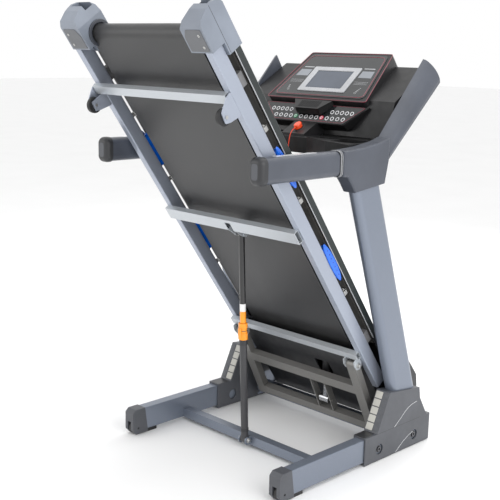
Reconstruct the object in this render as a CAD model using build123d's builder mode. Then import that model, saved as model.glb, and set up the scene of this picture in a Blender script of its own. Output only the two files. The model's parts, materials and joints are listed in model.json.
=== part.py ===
from build123d import *
import os
from math import atan2, cos, degrees, hypot, pi, radians, sin, tan

# Folding motorised treadmill, stored upright. Millimetres.
# +X is the runner's right, +Y runs forward to the console, +Z is up, and the floor is z = 0.
# The origin is the centre of the folded machine's footprint.

# ---- driving dimensions -------------------------------------------------------------------
front = 523.84  # y of the front ends of the base
gap = 0.3  # clearance between pieces that move past each other
fit_gap = 0.05  # radial clearance of a shaft in its hole
wall = 2.0  # wall of the steel tubes
shell = 3.0  # wall of the plastic covers

rail_outer = 372.0  # half of the base's width
rail_width = 40.0
rail_low = 12.0
rail_high = 92.0
rail_length = 711.0  # from the front of the base to the joint with the rear cap
rail_mid = rail_outer - rail_width / 2
rail_inner = rail_outer - rail_width

post_x = 348.0  # middle of the uprights, the handles and the corner shells
post_width = 46.0
post_depth = 120.0
post_lean = 19.06  # degrees, towards the runner
post_foot = (front - 149.5, 217.9)  # a point on the upright's axis, y and z

handle_height = 76.0
handle_width = 50.0
handle_z = 1011.0

deck_angle = 125.57  # degrees from +Y to the deck's length, folded
deck_origin = (front - 176.9, 171.8)  # y and z of s = 0 on the deck's underside
fold_pivot = (front - 171.0, 51.0)
tube_x = (280.0, 305.0)  # inner and outer faces of the deck's side tubes
tube_height = 46.0
tube_start = 60.0
tube_end = 1421.0
board_low = 66.0  # heights above the underside plane
board_high = 84.0
belt_half = 235.0
belt_thick = 2.0
roller_height = 58.0
front_roller_s = 175.0
rear_roller_s = 1442.0
roller_r = 25.6
belt_r = 26.0
deck_half = 312.0

strut_foot = (front - 542.0, 32.0)
strut_top = (front - 577.0, 754.0)

console_back = (front - 51.0, 1332.0)
console_front = (front - 245.0, 1176.0)
console_half_back = 182.0
console_half_front = 223.0


# ---- planes ---------------------------------------------------------------------------------
def back(distance):
    """y of a place that lies this far behind the front of the base."""
    return front - distance


def side_plane(x):
    """Sketch plane seen from the side: its axes are +Y and +Z, its normal +X."""
    return Plane(origin=(x, 0, 0), x_dir=(0, 1, 0), z_dir=(1, 0, 0))


angle = radians(deck_angle)
deck_dir = Vector(0, cos(angle), sin(angle))  # along the deck, to its rear end
deck_down = Vector(0, -sin(angle), cos(angle))  # out of the deck's underside
deck_zero = Vector(0, *deck_origin)


def deck_side(x):
    """Sketch plane on the deck's side: its axes are s along the deck and h out of the underside."""
    return Plane(origin=deck_zero + Vector(x, 0, 0), x_dir=deck_dir, z_dir=(1, 0, 0))


def deck_level(h):
    """Sketch plane parallel to the deck: its axes are +X and s, its normal is h."""
    return Plane(origin=deck_zero + deck_down * h, x_dir=(1, 0, 0), z_dir=deck_down)


def deck_cut(s):
    """Sketch plane across the deck: its axes are +X and minus h, its normal runs to the rear."""
    return Plane(origin=deck_zero + deck_dir * s, x_dir=(1, 0, 0), z_dir=deck_dir)


def deck_yz(s, h):
    """y and z of a place on the deck."""
    place = deck_zero + deck_dir * s + deck_down * h
    return place.Y, place.Z


def to_deck(y, z):
    """s and h of a place given by y and z."""
    arm = Vector(0, y, z) - deck_zero
    return arm.dot(deck_dir), arm.dot(deck_down)


def slab(points, x0, x1, plane=side_plane, mode=Mode.ADD):
    """Straight-sided block: an outline in a side plane, drawn out from x0 to x1."""
    with BuildSketch(plane(x0)) as outline:
        with BuildLine() as line:
            Polyline(*points, close=True)
        make_face(line.edges())
    extrude(outline.sketch, amount=x1 - x0, mode=mode)


def block(x, y, z, mode=Mode.ADD):
    """Block between two limits on each axis."""
    size = (x[1] - x[0], y[1] - y[0], z[1] - z[0])
    middle = (sum(x) / 2, sum(y) / 2, sum(z) / 2)
    with Locations(middle):
        Box(*size, mode=mode)


def deck_block(x, s, h, mode=Mode.ADD):
    """Block in the deck's own axes, between two limits on each."""
    with BuildSketch(deck_level(h[0])) as outline:
        with Locations(((x[0] + x[1]) / 2, (s[0] + s[1]) / 2)):
            Rectangle(x[1] - x[0], s[1] - s[0])
    extrude(outline.sketch, amount=h[1] - h[0], mode=mode)


def rod(y, z, r, x0, x1, mode=Mode.ADD):
    """Round bar across the machine, at a y and a z."""
    with BuildSketch(side_plane(x0)) as outline:
        with Locations((y, z)):
            Circle(r)
    extrude(outline.sketch, amount=x1 - x0, mode=mode)


def deck_rod(s, h, r, x0, x1, mode=Mode.ADD):
    """Round bar across the deck, at an s and an h."""
    rod(*deck_yz(s, h), r, x0, x1, mode)


os.makedirs("parts", exist_ok=True)


def save(part, name):
    part.label = name
    export_step(part, f"parts/{name}.step")


def save_pair(right, name):
    """Write a right-hand piece, and its mirror image as the left-hand piece."""
    with BuildPart() as left:
        mirror(right, about=Plane.YZ)
    save(right, f"{name}_right")
    save(left.part, f"{name}_left")


def both_sides(right):
    """Add the mirror image of the piece being built as a second solid."""
    mirror(right.part, about=Plane.YZ)


# ---- base: rails, crossbars, caps and feet ----------------------------------------------------
cap_slant = 12.0  # the rail's rear end leans this far forward at its foot


def seam_y(z):
    """y of the slanted joint between a rail and its cap, at a height."""
    return back(rail_length) + cap_slant * (rail_high - z) / (rail_high - rail_low)


with BuildPart() as rail:
    with BuildSketch(Plane(origin=(rail_mid, back(rail_length), 0), x_dir=(1, 0, 0), z_dir=(0, 1, 0))):
        with Locations((0, -(rail_low + rail_high) / 2)):
            RectangleRounded(rail_width, rail_high - rail_low, 4)
            RectangleRounded(rail_width - 2 * wall, rail_high - rail_low - 2 * wall, 2, mode=Mode.SUBTRACT)
    extrude(amount=rail_length - 25)
    end_cut = [
        (back(rail_length + 5), rail_high + 1),
        (seam_y(rail_high + 1), rail_high + 1),
        (seam_y(rail_low - 1), rail_low - 1),
        (back(rail_length + 5), rail_low - 1),
    ]
    slab(end_cut, rail_inner - 1, rail_outer + 1, mode=Mode.SUBTRACT)
save_pair(rail.part, "rail")

rear_bar_y = (back(529), back(496))
with BuildPart() as rear_crossbar:
    block((-rail_inner, rail_inner), rear_bar_y, (13, 44))
    block((-rail_inner, rail_inner), (rear_bar_y[0] + wall, rear_bar_y[1] - wall), (15, 42), mode=Mode.SUBTRACT)
save(rear_crossbar.part, "rear_crossbar")

hook_x = (284.5, 289.5)  # inner and outer faces of each hook
stub_r = 8.0  # the lift frame's pivot stubs
slot_reach = 24.0  # middle of the hooks' open slots from the pivot
with BuildPart() as front_crossbar:
    block((-rail_inner, rail_inner), (back(146), back(106)), (24, 64))
    block((-rail_inner, rail_inner), (back(144), back(108)), (26, 62), mode=Mode.SUBTRACT)
    hook = [
        (back(146), 74),
        (fold_pivot[0] - 4, 66),
        (fold_pivot[0] - 16, 60),
        (fold_pivot[0] - 16, 30),
        (back(146), 28),
    ]
    slab(hook, *hook_x)
    slab(hook, -hook_x[1], -hook_x[0])
    slot_middle = (fold_pivot[0] - slot_reach * 0.89, fold_pivot[1] - slot_reach * 0.455)
    with BuildSketch(side_plane(-hook_x[1] - 1)):
        SlotCenterPoint(slot_middle, fold_pivot, 2 * stub_r + 2)
    extrude(amount=2 * hook_x[1] + 2, mode=Mode.SUBTRACT)
save(front_crossbar.part, "front_crossbar")

small_wheel = (back(741), 24.5)
small_wheel_r = 21.5
small_axle_r = 4.0
with BuildPart() as rail_caps:
    profile = [
        (seam_y(94) - 0.1, 94),
        (back(752), 94),
        (back(765), 82),
        (back(765), 20),
        (back(750), 3),
        (seam_y(3) - 0.1, 3),
    ]
    slab(profile, rail_inner - 2, rail_outer + 2)
    fillet(rail_caps.edges().filter_by(Axis.X).group_by(Axis.Y)[0], 5)
    outline = rail_caps.faces().filter_by(Axis.X)
    fillet(outline.sort_by(Axis.X)[-1].edges(), 1.5)
    inset = wall + 3 * gap
    plug = (rail_inner + inset, rail_outer - inset)
    block(plug, (back(rail_length), back(rail_length - 42)), (rail_low + inset, rail_high - inset))
    block((rail_mid - 9, rail_mid + 9), (back(770), back(716)), (0, 50), mode=Mode.SUBTRACT)
    rod(*small_wheel, small_axle_r + fit_gap, rail_inner - 3, rail_outer + 3, mode=Mode.SUBTRACT)
    both_sides(rail_caps)
save(rail_caps.part, "rail_caps")

for hand, name in ((1, "right"), (-1, "left")):
    with BuildPart() as base_wheel:
        middle = hand * rail_mid
        rod(*small_wheel, small_wheel_r, middle - 8, middle + 8)
        fillet(base_wheel.edges(), 2.5)
        rod(*small_wheel, small_axle_r, middle - 20, middle + 20)
    save(base_wheel.part, f"base_wheel_{name}")

with BuildPart() as foot_pads:
    block((rail_inner + 3, rail_outer - 3), (back(697), back(655)), (0, rail_low))
    block((rail_inner + 3, rail_outer - 3), (back(70), back(30)), (0, rail_low))
    both_sides(foot_pads)
save(foot_pads.part, "foot_pads")

# ---- boots round the feet of the uprights -------------------------------------------------------
lean = radians(post_lean)
post_plane = Plane(
    origin=(post_x, *post_foot), x_dir=(1, 0, 0), z_dir=(0, -sin(lean), cos(lean))
)


boot_inner = 321.5
boot_outer = rail_outer + 6.0
recesses = [(back(285), 42.0), (back(92), 42.0)]
with BuildPart() as boot:
    block((rail_inner - 6, boot_outer), (back(362), back(0)), (3, 98))
    fillet(boot.edges().filter_by(Axis.Z), 4)
    shroud = [
        (back(300), 97),
        (back(240), 228),
        (back(73), 209),
        (back(66), 169),
        (back(21), 97),
    ]
    slab(shroud, boot_inner, boot_outer)
    fillet(boot.edges().filter_by(Axis.X).group_by(Axis.Z)[-1], 3)
    block((rail_inner - 2, rail_outer + 2), (back(363), back(4)), (0, rail_high + 0.5), mode=Mode.SUBTRACT)
    with BuildSketch(post_plane):
        SlotOverall(post_depth + 2 * gap, post_width + 2 * gap, rotation=90)
    extrude(amount=200, both=True, mode=Mode.SUBTRACT)
    block((rail_inner - 7, rail_inner - 1), (back(147), back(105)), (23, 65), mode=Mode.SUBTRACT)
    for y, z in recesses:
        rod(y, z, 18, rail_outer + 1, boot_outer + 1, mode=Mode.SUBTRACT)
        rod(y, z, 18, rail_inner - 7, rail_inner - 1, mode=Mode.SUBTRACT)
save_pair(boot.part, "boot")

with BuildPart() as base_bolts:
    for y, z in recesses:
        rod(y, z, 13, rail_outer, rail_outer + 1.5)
        with BuildSketch(side_plane(rail_outer + 1.5)):
            with Locations((y, z)):
                RegularPolygon(10, 6)
                RegularPolygon(4.5, 6, mode=Mode.SUBTRACT)
        extrude(amount=4)
    both_sides(base_bolts)
save(base_bolts.part, "base_bolts")

post_top = 800.0  # along the axis, from its point at the boot's top edge
with BuildPart() as upright:
    with BuildSketch(post_plane):
        SlotOverall(post_depth, post_width, rotation=90)
        SlotOverall(post_depth - 2 * wall, post_width - 2 * wall, rotation=90, mode=Mode.SUBTRACT)
    extrude(amount=post_top)
    extrude(upright.faces().sort_by(Axis.Z)[0], amount=220)
    split(bisect_by=Plane.XY.offset(rail_high + 0.5), keep=Keep.TOP)
save_pair(upright.part, "upright")

# ---- handles, corner shells and wings -------------------------------------------------------------
handle_rear = back(850)
handle_front = back(529)
handle_plane = Plane(origin=(post_x, handle_rear, handle_z), x_dir=(1, 0, 0), z_dir=(0, 1, 0))
with BuildPart() as handle:
    with BuildSketch(handle_plane):
        RectangleRounded(handle_width, handle_height, 19)
        RectangleRounded(handle_width - 12, handle_height - 12, 13, mode=Mode.SUBTRACT)
    extrude(amount=handle_front - handle_rear)
save_pair(handle.part, "handle")

with BuildPart() as handle_caps:
    with BuildSketch(handle_plane.offset(-0.3)):
        RectangleRounded(handle_width + 5, handle_height + 5, 21)
    extrude(amount=-27)
    fillet(handle_caps.faces().sort_by(Axis.Y)[0].edges(), 17)
    with BuildSketch(handle_plane.offset(-0.3)):
        RectangleRounded(handle_width - 13, handle_height - 13, 12)
    extrude(amount=25)
    both_sides(handle_caps)
save(handle_caps.part, "handle_caps")

corner_out = 29.5  # outer face of the corner shells, from the middle of the post
corner_in = 25.7  # inner face, clear of the tray's ends
corner_round = 8.0
crease_low = 957.0  # height of the front end of the crease along the outer face
corner_outline = [
    (back(527.5), handle_z - 38),
    (back(527.5), handle_z + 38),
    (back(430), handle_z + 44),
    (back(350), handle_z + 56),
    (back(307), handle_z + 68),
    (back(307), handle_z - 2),
    (back(323), 936),
    (back(466), 919),
    (back(484), 944),
    (back(505), handle_z - 42),
]
with BuildPart() as corner_shells:
    slab(corner_outline, post_x - corner_in, post_x + corner_out)
    fillet(corner_shells.faces().filter_by(Axis.X).edges(), corner_round)
    crease = Vector(0, back(307) - back(527.5), handle_z - 3 - crease_low).normalized()
    crease_plane = Plane(origin=(post_x, back(527.5) - 5, crease_low), x_dir=(1, 0, 0), z_dir=crease)
    with BuildSketch(crease_plane) as under:
        with BuildLine():
            Polyline((corner_out, 0), (corner_out + 4, 0), (corner_out + 4, 120), (corner_out - 4, 120), close=True)
        make_face()
    extrude(under.sketch, amount=260, mode=Mode.SUBTRACT)
    with BuildSketch(post_plane.offset(700)):
        SlotOverall(post_depth + 2 * gap, post_width + 2 * gap, rotation=90)
    extrude(amount=post_top - 700 + gap, mode=Mode.SUBTRACT)
    both_sides(corner_shells)
save(corner_shells.part, "corner_shells")


def wing_section(plane, points, bulge):
    """Section of a wing: flat inside and below, bowed outside, with a narrow crest."""
    foot, toe, hip, crest, lip = points
    with BuildSketch(plane) as section:
        with BuildLine() as line:
            Polyline(crest, lip, foot, toe, hip)
            SagittaArc(hip, crest, -bulge)
        make_face(line.edges())
    return section.sketch


wing_seam = back(305.5)
wing_tip = (back(43), 1245.0)
with BuildPart() as wing:
    seam_plane = Plane(origin=(0, wing_seam, 1009), x_dir=(1, 0, 0), z_dir=(0, -1, 0))
    seam = [(323, -6), (371, 0), (374.5, 14), (338, 66), (328, 69)]
    seam_face = wing_section(seam_plane, seam, 9)
    tip_plane = Plane(origin=(0, *wing_tip), x_dir=(1, 0, 0), z_dir=(0, -cos(radians(31.3)), -sin(radians(31.3))))
    tip = [(323, -2), (367, 0), (370, 14), (338, 83), (327, 87)]
    tip_face = wing_section(tip_plane, tip, 9)
    loft([seam_face, tip_face])
save_pair(wing.part, "wing")

# ---- console -------------------------------------------------------------------------------------
slope = Vector(0, console_back[0] - console_front[0], console_back[1] - console_front[1]).normalized()
face_normal = Vector(0, -slope.Z, slope.Y)
face_plane = Plane(origin=(0, *console_front), x_dir=(1, 0, 0), z_dir=face_normal)
face_length = hypot(console_back[0] - console_front[0], console_back[1] - console_front[1])

key_top = (back(235.5), 1160.5)
key_foot = (back(279.5), 1101.0)
key_down = Vector(0, key_foot[0] - key_top[0], key_foot[1] - key_top[1])
key_length = key_down.length
key_up = key_down.normalized() * -1
key_normal = Vector(0, -key_up.Z, key_up.Y)
key_plane = Plane(origin=(0, *key_foot), x_dir=(1, 0, 0), z_dir=key_normal)
key_half_top = 233.0
key_half_foot = 160.0

nose_top = (back(284), 1101.0)
nose_tip = (back(347), 1067.0)
nose_dir = Vector(0, nose_top[0] - nose_tip[0], nose_top[1] - nose_tip[1]).normalized()
nose_normal = Vector(0, -nose_dir.Z, nose_dir.Y)
nose_half = 50.0
socket_centre = Vector(0, back(317), 1083.2)
socket_plane = Plane(origin=socket_centre, x_dir=(1, 0, 0), z_dir=nose_normal)
key_socket_r = 6.0

grille_top = (back(247), 1175.5)
grille_foot = (back(284), 1148.0)
grille_down = Vector(0, grille_foot[0] - grille_top[0], grille_foot[1] - grille_top[1])
grille_dir = grille_down.normalized() * -1
grille_normal = Vector(0, -grille_dir.Z, grille_dir.Y)
grille_plane = Plane(origin=(0, *grille_foot), x_dir=(1, 0, 0), z_dir=grille_normal)
grille_thick = 5.0

start_x = 58.0
key_row = 20.0  # height of the lower row of keys above the key panel's foot
key_r = 8.0
panel_thick = 2.0


def trapezoid(half_low, half_high, length, low=0.0):
    """Face that is symmetrical across the machine, from a lower edge to an upper one."""
    with BuildLine() as line:
        Polyline(
            (-half_low, low),
            (half_low, low),
            (half_high, low + length),
            (-half_high, low + length),
            close=True,
        )
    make_face(line.edges())


housing_half = 322.0
nose_outline = [
    nose_top,
    nose_tip,
    (nose_tip[0], 1046),
    (back(300), 1040),
    (back(250), 1064),
    (back(236), 1098),
]
shoulder = [
    (back(38), 1291),
    (back(222), 1183),
    (back(250), 1064),
    (back(215), 1064),
    (back(22), 1222),
    (back(20), 1282),
]
with BuildPart() as console_housing:
    slab(shoulder, -housing_half, housing_half)
    fillet(console_housing.edges().filter_by(Axis.X).group_by(Axis.Z)[-1], 8)
    inner = [
        (back(40), 1285),
        (back(218), 1180),
        (back(246), 1060),
        (back(212), 1060),
        (back(20), 1217),
        (back(24), 1278),
    ]
    with BuildSketch(side_plane(-housing_half + shell)):
        with BuildLine():
            Polyline(*inner, close=True)
        make_face()
    extrude(amount=2 * (housing_half - shell), mode=Mode.SUBTRACT)
    with BuildSketch(face_plane) as face_sketch:
        trapezoid(console_half_front, console_half_back, face_length)
        fillet(face_sketch.vertices(), 16)
    extrude(amount=-48)
    with BuildSketch(key_plane):
        trapezoid(key_half_foot, key_half_top, key_length)
    extrude(amount=-34)
    slab(nose_outline, -nose_half, nose_half)
    with BuildSketch(grille_plane.offset(-grille_thick)):
        trapezoid(52, 84, grille_down.length)
    extrude(amount=-20)
    with BuildSketch(face_plane.offset(-shell)) as face_inside:
        trapezoid(console_half_front - shell, console_half_back - shell, face_length - 2 * shell, shell)
        fillet(face_inside.vertices(), 13)
    extrude(amount=-52, mode=Mode.SUBTRACT)
    with BuildSketch(socket_plane.offset(1)) as socket_sketch:
        Circle(key_socket_r)
    extrude(socket_sketch.sketch, amount=-20, mode=Mode.SUBTRACT)
save(console_housing.part, "console_housing")

tray_outline = [
    (-housing_half, back(251)),
    (housing_half, back(251)),
    (housing_half, back(446)),
    (200, back(412)),
    (66, back(350)),
    (-66, back(350)),
    (-200, back(412)),
    (-housing_half, back(446)),
]
tray_z = (1004.0, 1060.0)
well_outline = [
    (78, back(300)),
    (302, back(300)),
    (302, back(395)),
    (204, back(395)),
    (204, back(342)),
    (78, back(342)),
]
well_floor = 1010.0
with BuildPart() as console_tray:
    with BuildSketch(Plane.XY.offset(tray_z[0])):
        with BuildLine():
            Polyline(*tray_outline, close=True)
        make_face()
    extrude(amount=tray_z[1] - tray_z[0])
    fillet(console_tray.edges().filter_by(Axis.X).group_by(Axis.Y)[0], 4)
    block((-nose_half - 1, nose_half + 1), (back(349), back(250)), (1036, 1070), mode=Mode.SUBTRACT)
    with BuildSketch(Plane.XY.offset(well_floor)) as wells:
        with BuildLine():
            Polyline(*well_outline, close=True)
        make_face()
        fillet(wells.vertices(), 5)
        mirror(about=Plane.YZ)
    extrude(amount=tray_z[1] - well_floor + 1, mode=Mode.SUBTRACT)
    block((-housing_half + shell, housing_half - shell), (back(294), back(254)), (1000, 1056), mode=Mode.SUBTRACT)
    block((-70, 70), (back(344), back(250)), (1000, 1033), mode=Mode.SUBTRACT)
    cover = [
        (back(251), 1004),
        (back(251), 1060),
        (back(216), 1059),
        (back(24), 1217),
        (back(26), 1211),
        (back(214), 1040),
    ]
    slab(cover, -housing_half + shell + 1, housing_half - shell - 1)
save(console_tray.part, "console_tray")

window_half = 80.0
window = (56.0, 146.0)  # lower and upper edges of the display window on the sloping face
bezel_half = 105.0
bezel = (38.0, 166.0)
with BuildPart() as display_panel:
    with BuildSketch(face_plane) as panel_sketch:
        trapezoid(204, 169, face_length - 28, 16)
        fillet(panel_sketch.vertices(), 18)
        with Locations((0, sum(bezel) / 2)):
            Rectangle(2 * bezel_half, bezel[1] - bezel[0], mode=Mode.SUBTRACT)
    extrude(panel_sketch.sketch, amount=panel_thick)
save(display_panel.part, "display_panel")

with BuildPart() as lcd_bezel:
    with BuildSketch(face_plane) as bezel_sketch:
        with Locations((0, sum(bezel) / 2)):
            RectangleRounded(2 * bezel_half - 1, bezel[1] - bezel[0] - 1, 5)
        with Locations((0, sum(window) / 2)):
            RectangleRounded(2 * window_half, window[1] - window[0], 2, mode=Mode.SUBTRACT)
    extrude(bezel_sketch.sketch, amount=6)
    chamfer(lcd_bezel.edges().group_by(Axis(face_plane.origin, face_normal))[-1], 1.5)
save(lcd_bezel.part, "lcd_bezel")

with BuildPart() as lcd_lens:
    with BuildSketch(face_plane) as lens_sketch:
        with Locations((0, sum(window) / 2)):
            RectangleRounded(2 * window_half - 0.6, window[1] - window[0] - 0.6, 2)
    extrude(lens_sketch.sketch, amount=3)
save(lcd_lens.part, "lcd_lens")

with BuildPart() as key_panel:
    with BuildSketch(key_plane.offset(0.1)) as key_sketch:
        trapezoid(key_half_foot - 3, key_half_top - 8, key_length - 5, 2)
        fillet(key_sketch.vertices(), 6)
        with Locations((-start_x, key_row), (start_x, key_row)):
            Circle(key_r + gap, mode=Mode.SUBTRACT)
    extrude(key_sketch.sketch, amount=panel_thick)
    with BuildSketch(grille_plane.offset(2)) as grille_room:
        trapezoid(54, 86, grille_down.length)
    extrude(grille_room.sketch, amount=-30, mode=Mode.SUBTRACT)
    slab(nose_outline, -nose_half - 1, nose_half + 1, mode=Mode.SUBTRACT)
save(key_panel.part, "key_panel")

key_travel = 0.8
for x, name in ((-start_x, "start_key"), (start_x, "stop_key")):
    with BuildPart() as key:
        with BuildSketch(key_plane.offset(0.1 + key_travel + 0.1)) as cap_sketch:
            with Locations((x, key_row)):
                Circle(key_r)
        extrude(cap_sketch.sketch, amount=3)
        chamfer(key.edges().group_by(Axis(key_plane.origin, key_normal))[-1], 0.6)
    save(key.part, name)

with BuildPart() as fan_grille:
    with BuildSketch(grille_plane.offset(-grille_thick + 0.2)) as grille_sketch:
        trapezoid(51, 83, grille_down.length - 2, 1)
    extrude(grille_sketch.sketch, amount=grille_thick)
    with BuildSketch(grille_plane.offset(-1.5)) as slots:
        with GridLocations(7, 0, 13, 1):
            with Locations((0, grille_down.length / 2)):
                SlotOverall(34, 3.2, rotation=90)
    extrude(slots.sketch, amount=6, mode=Mode.SUBTRACT)
save(fan_grille.part, "fan_grille")

# ---- safety key and its lanyard ---------------------------------------------------------------
key_head = (32.0, 24.0)
key_lift = 2.0  # gap between the key's head and the nose, plugged in
with BuildPart() as safety_key:
    with BuildSketch(socket_plane.offset(key_lift)) as head_sketch:
        Ellipse(key_head[1] / 2, key_head[0] / 2)
    extrude(head_sketch.sketch, amount=16)
    fillet(safety_key.edges().group_by(Axis(socket_plane.origin, nose_normal))[-1], 5)
    with BuildSketch(socket_plane.offset(key_lift)) as stem_sketch:
        Circle(key_socket_r - gap)
    extrude(stem_sketch.sketch, amount=-14)
    cord_exit = socket_centre + nose_normal * 10 - nose_dir * 18
    with BuildSketch(Plane(origin=cord_exit, x_dir=(1, 0, 0), z_dir=nose_dir)) as boss_sketch:
        Circle(3.2)
    extrude(boss_sketch.sketch, amount=10)
save(safety_key.part, "safety_key")

lanyard_r = 1.5
lanyard_route = [
    cord_exit,
    (0.0, back(349.91), 1076.80),
    (0.3, back(360.5), 1061.0),
    (0.6, back(366.0), 1035.0),
    (0.9, back(369.6), 990.0),
    (1.1, back(371.8), 932.0),
    (1.2, back(373.0), 872.0),
    (1.3, back(373.7), 812.0),
    (1.35, back(374.1), 752.0),
    (1.4, back(374.3), 692.0),
]


def smooth_radii(route):
    """Largest arc at each inner point that the two runs beside it leave room for."""
    radii = []
    for before, here, after in zip(route, route[1:], route[2:]):
        run_in = Vector(here) - Vector(before)
        run_out = Vector(after) - Vector(here)
        turn = radians(run_in.get_angle(run_out))
        radii.append(0.45 * min(run_in.length, run_out.length) / tan(turn / 2))
    return radii


lanyard_radii = smooth_radii(lanyard_route)
print("lanyard radii", [round(r) for r in lanyard_radii])
with BuildPart() as lanyard_cord:
    with BuildLine() as lanyard_line:
        FilletPolyline(*lanyard_route, radius=lanyard_radii)
    with BuildSketch(Plane(origin=cord_exit, z_dir=lanyard_line.line % 0)):
        Circle(lanyard_r)
    sweep(path=lanyard_line.line)
lanyard_length = sum(edge.length for edge in lanyard_line.edges())
lanyard_volume = lanyard_length * pi * lanyard_r**2
print("lanyard length", round(lanyard_length, 1), "volume ratio", round(lanyard_cord.part.volume / lanyard_volume, 4))
save(lanyard_cord.part, "lanyard_cord")

clip_top = Vector(*lanyard_route[-1])
clip_length = 36.0
with BuildPart() as lanyard_clip:
    with BuildSketch(Plane(origin=clip_top, x_dir=(1, 0, 0), z_dir=(0, 0, -1))):
        RectangleRounded(9, 7, 2)
    extrude(amount=10)
    jaw = [
        (clip_top.Y - 3.5, clip_top.Z - 10),
        (clip_top.Y - 5.5, clip_top.Z - 24),
        (clip_top.Y - 1.5, clip_top.Z - clip_length),
        (clip_top.Y - 0.4, clip_top.Z - clip_length),
        (clip_top.Y - 0.4, clip_top.Z - 14),
        (clip_top.Y + 0.4, clip_top.Z - 14),
        (clip_top.Y + 0.4, clip_top.Z - clip_length),
        (clip_top.Y + 1.5, clip_top.Z - clip_length),
        (clip_top.Y + 5.5, clip_top.Z - 24),
        (clip_top.Y + 3.5, clip_top.Z - 10),
    ]
    slab(jaw, clip_top.X - 4.5, clip_top.X + 4.5)
save(lanyard_clip.part, "lanyard_clip")

# ---- folding strut ------------------------------------------------------------------------------
strut_line = Vector(0, strut_top[0] - strut_foot[0], strut_top[1] - strut_foot[1])
strut_length = strut_line.length
strut_dir = strut_line.normalized()
strut_bore = 10.35
strut_rod_r = 10.0
release = (360.0, 417.0)  # ends of the release sleeve along the strut
pin_r = 6.0


def strut_tube_piece(low, high, r, mode=Mode.ADD):
    """Round bar along the strut, between two distances from its lower pin."""
    base = Plane(origin=Vector(0, *strut_foot) + strut_dir * low, x_dir=(1, 0, 0), z_dir=strut_dir)
    with BuildSketch(base) as outline:
        Circle(r)
    extrude(outline.sketch, amount=high - low, mode=mode)


with BuildPart() as strut_bracket:
    for x0 in (-17, 13):
        block((x0, x0 + 4), (strut_foot[0] - 14, rear_bar_y[0]), (17, 43))
    fillet(strut_bracket.edges().filter_by(Axis.X).group_by(Axis.Y)[0], 10)
    rod(*strut_foot, pin_r, -20, 20)
save(strut_bracket.part, "strut_bracket")

with BuildPart() as strut_tube:
    rod(*strut_foot, 12, -11, 11)
    strut_tube_piece(6, release[0], 12.5)
    strut_tube_piece(24, release[0] + 1, strut_bore, mode=Mode.SUBTRACT)
    rod(*strut_foot, pin_r + fit_gap, -12, 12, mode=Mode.SUBTRACT)
save(strut_tube.part, "strut_tube")

with BuildPart() as strut_release:
    strut_tube_piece(release[0], release[0] + 22, 15.5)
    strut_tube_piece(release[0] + 22, release[1] - 16, 13.5)
    strut_tube_piece(release[1] - 16, release[1], 15.5)
    fillet(strut_release.edges().filter_by(GeomType.CIRCLE).group_by(Axis.Z)[-1], 2)
    strut_tube_piece(release[0] - 1, release[1] + 1, strut_bore, mode=Mode.SUBTRACT)
save(strut_release.part, "strut_release")

eye_half = 10.7
with BuildPart() as strut_cylinder:
    strut_tube_piece(332, strut_length - 6, strut_rod_r)
    rod(*strut_top, 12, -eye_half, eye_half)
    rod(*strut_top, pin_r, -eye_half - 1.2, eye_half + 1.2)
save(strut_cylinder.part, "strut_cylinder")

# ---- deck frame -----------------------------------------------------------------------------------
lift_pivot = (190.0, 20.0)  # s and h of the hinge between deck and lift frame
strut_eye = to_deck(*strut_top)
tube_mid = sum(tube_x) / 2
tube_wide = tube_x[1] - tube_x[0]
with BuildPart() as side_tube:
    with BuildSketch(deck_cut(tube_start)) as tube_sketch:
        with Locations((tube_mid, tube_height / 2)):
            RectangleRounded(tube_wide, tube_height, 3)
            RectangleRounded(tube_wide - 2 * wall, tube_height - 2 * wall, 1.5, mode=Mode.SUBTRACT)
    extrude(tube_sketch.sketch, amount=tube_end - tube_start)
save_pair(side_tube.part, "side_tube")

bars = [(1269, 1298), (745, 790), (215, 243)]
bar_half = 297.0
bar_depth = 18.0
notch_half = 12.4  # half width of the notch that lets the strut's eye swing past the second bar
notch_step = 753.0  # the notch goes right through the bar up to here
notch_end = 778.0
notch_floor = 2.5
lift_x = (245.0, 283.0)  # inner and outer faces of the lift frame's side tubes
with BuildPart() as deck_crossbars:
    for s in bars:
        deck_block((-bar_half, bar_half), s, (0, bar_depth))
        deck_block((-bar_half, bar_half), (s[0] + wall, s[1] - wall), (wall, bar_depth - wall), Mode.SUBTRACT)
    ear = [
        (bars[1][0], 16),
        (strut_eye[0], strut_eye[1] + 14),
        (strut_eye[0] - 12, strut_eye[1] + 4),
        (strut_eye[0] - 12, strut_eye[1] - 8),
        (strut_eye[0], strut_eye[1] - 13),
        (bars[1][0], -8),
        (bars[1][0], 0),
    ]
    for x0 in (-16.5, 12.5):
        slab(ear, x0, x0 + 4, deck_side)
        deck_block((x0, x0 + 4), (bars[1][0] - 1, bars[1][0] + 4), (0.5, 16))
    deck_block((-notch_half, notch_half), (bars[1][0] - 1, notch_step), (-1, bar_depth + 1), Mode.SUBTRACT)
    deck_block((-notch_half, notch_half), (notch_step - 1, notch_end), (notch_floor, bar_depth + 1), Mode.SUBTRACT)
    for x0, x1 in ((-16.5 - 3, -16.5), (16.5, 16.5 + 3)):
        deck_rod(*strut_eye, 9, x0, x1)
    hinge_ear = [
        (bars[2][0] + 1, 1),
        (bars[2][0] + 1, 30),
        (200, 36),
        (182, 34),
        (174, 22),
        (178, 8),
        (190, 2),
    ]
    for x0, x1 in (
        (lift_x[1] + 1.5, lift_x[1] + 5.5),
        (lift_x[0] - 5.5, lift_x[0] - 1.5),
        (-lift_x[1] - 5.5, -lift_x[1] - 1.5),
        (-lift_x[0] + 1.5, -lift_x[0] + 5.5),
    ):
        slab(hinge_ear, x0, x1, deck_side)
    deck_rod(*lift_pivot, pin_r + fit_gap, -300, 300, Mode.SUBTRACT)
save(deck_crossbars.part, "deck_crossbars")

with BuildPart() as deck_board:
    deck_block((-302, 302), (215, 1380), (-board_high + 0.2, -board_low))
save(deck_board.part, "deck_board")


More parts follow.
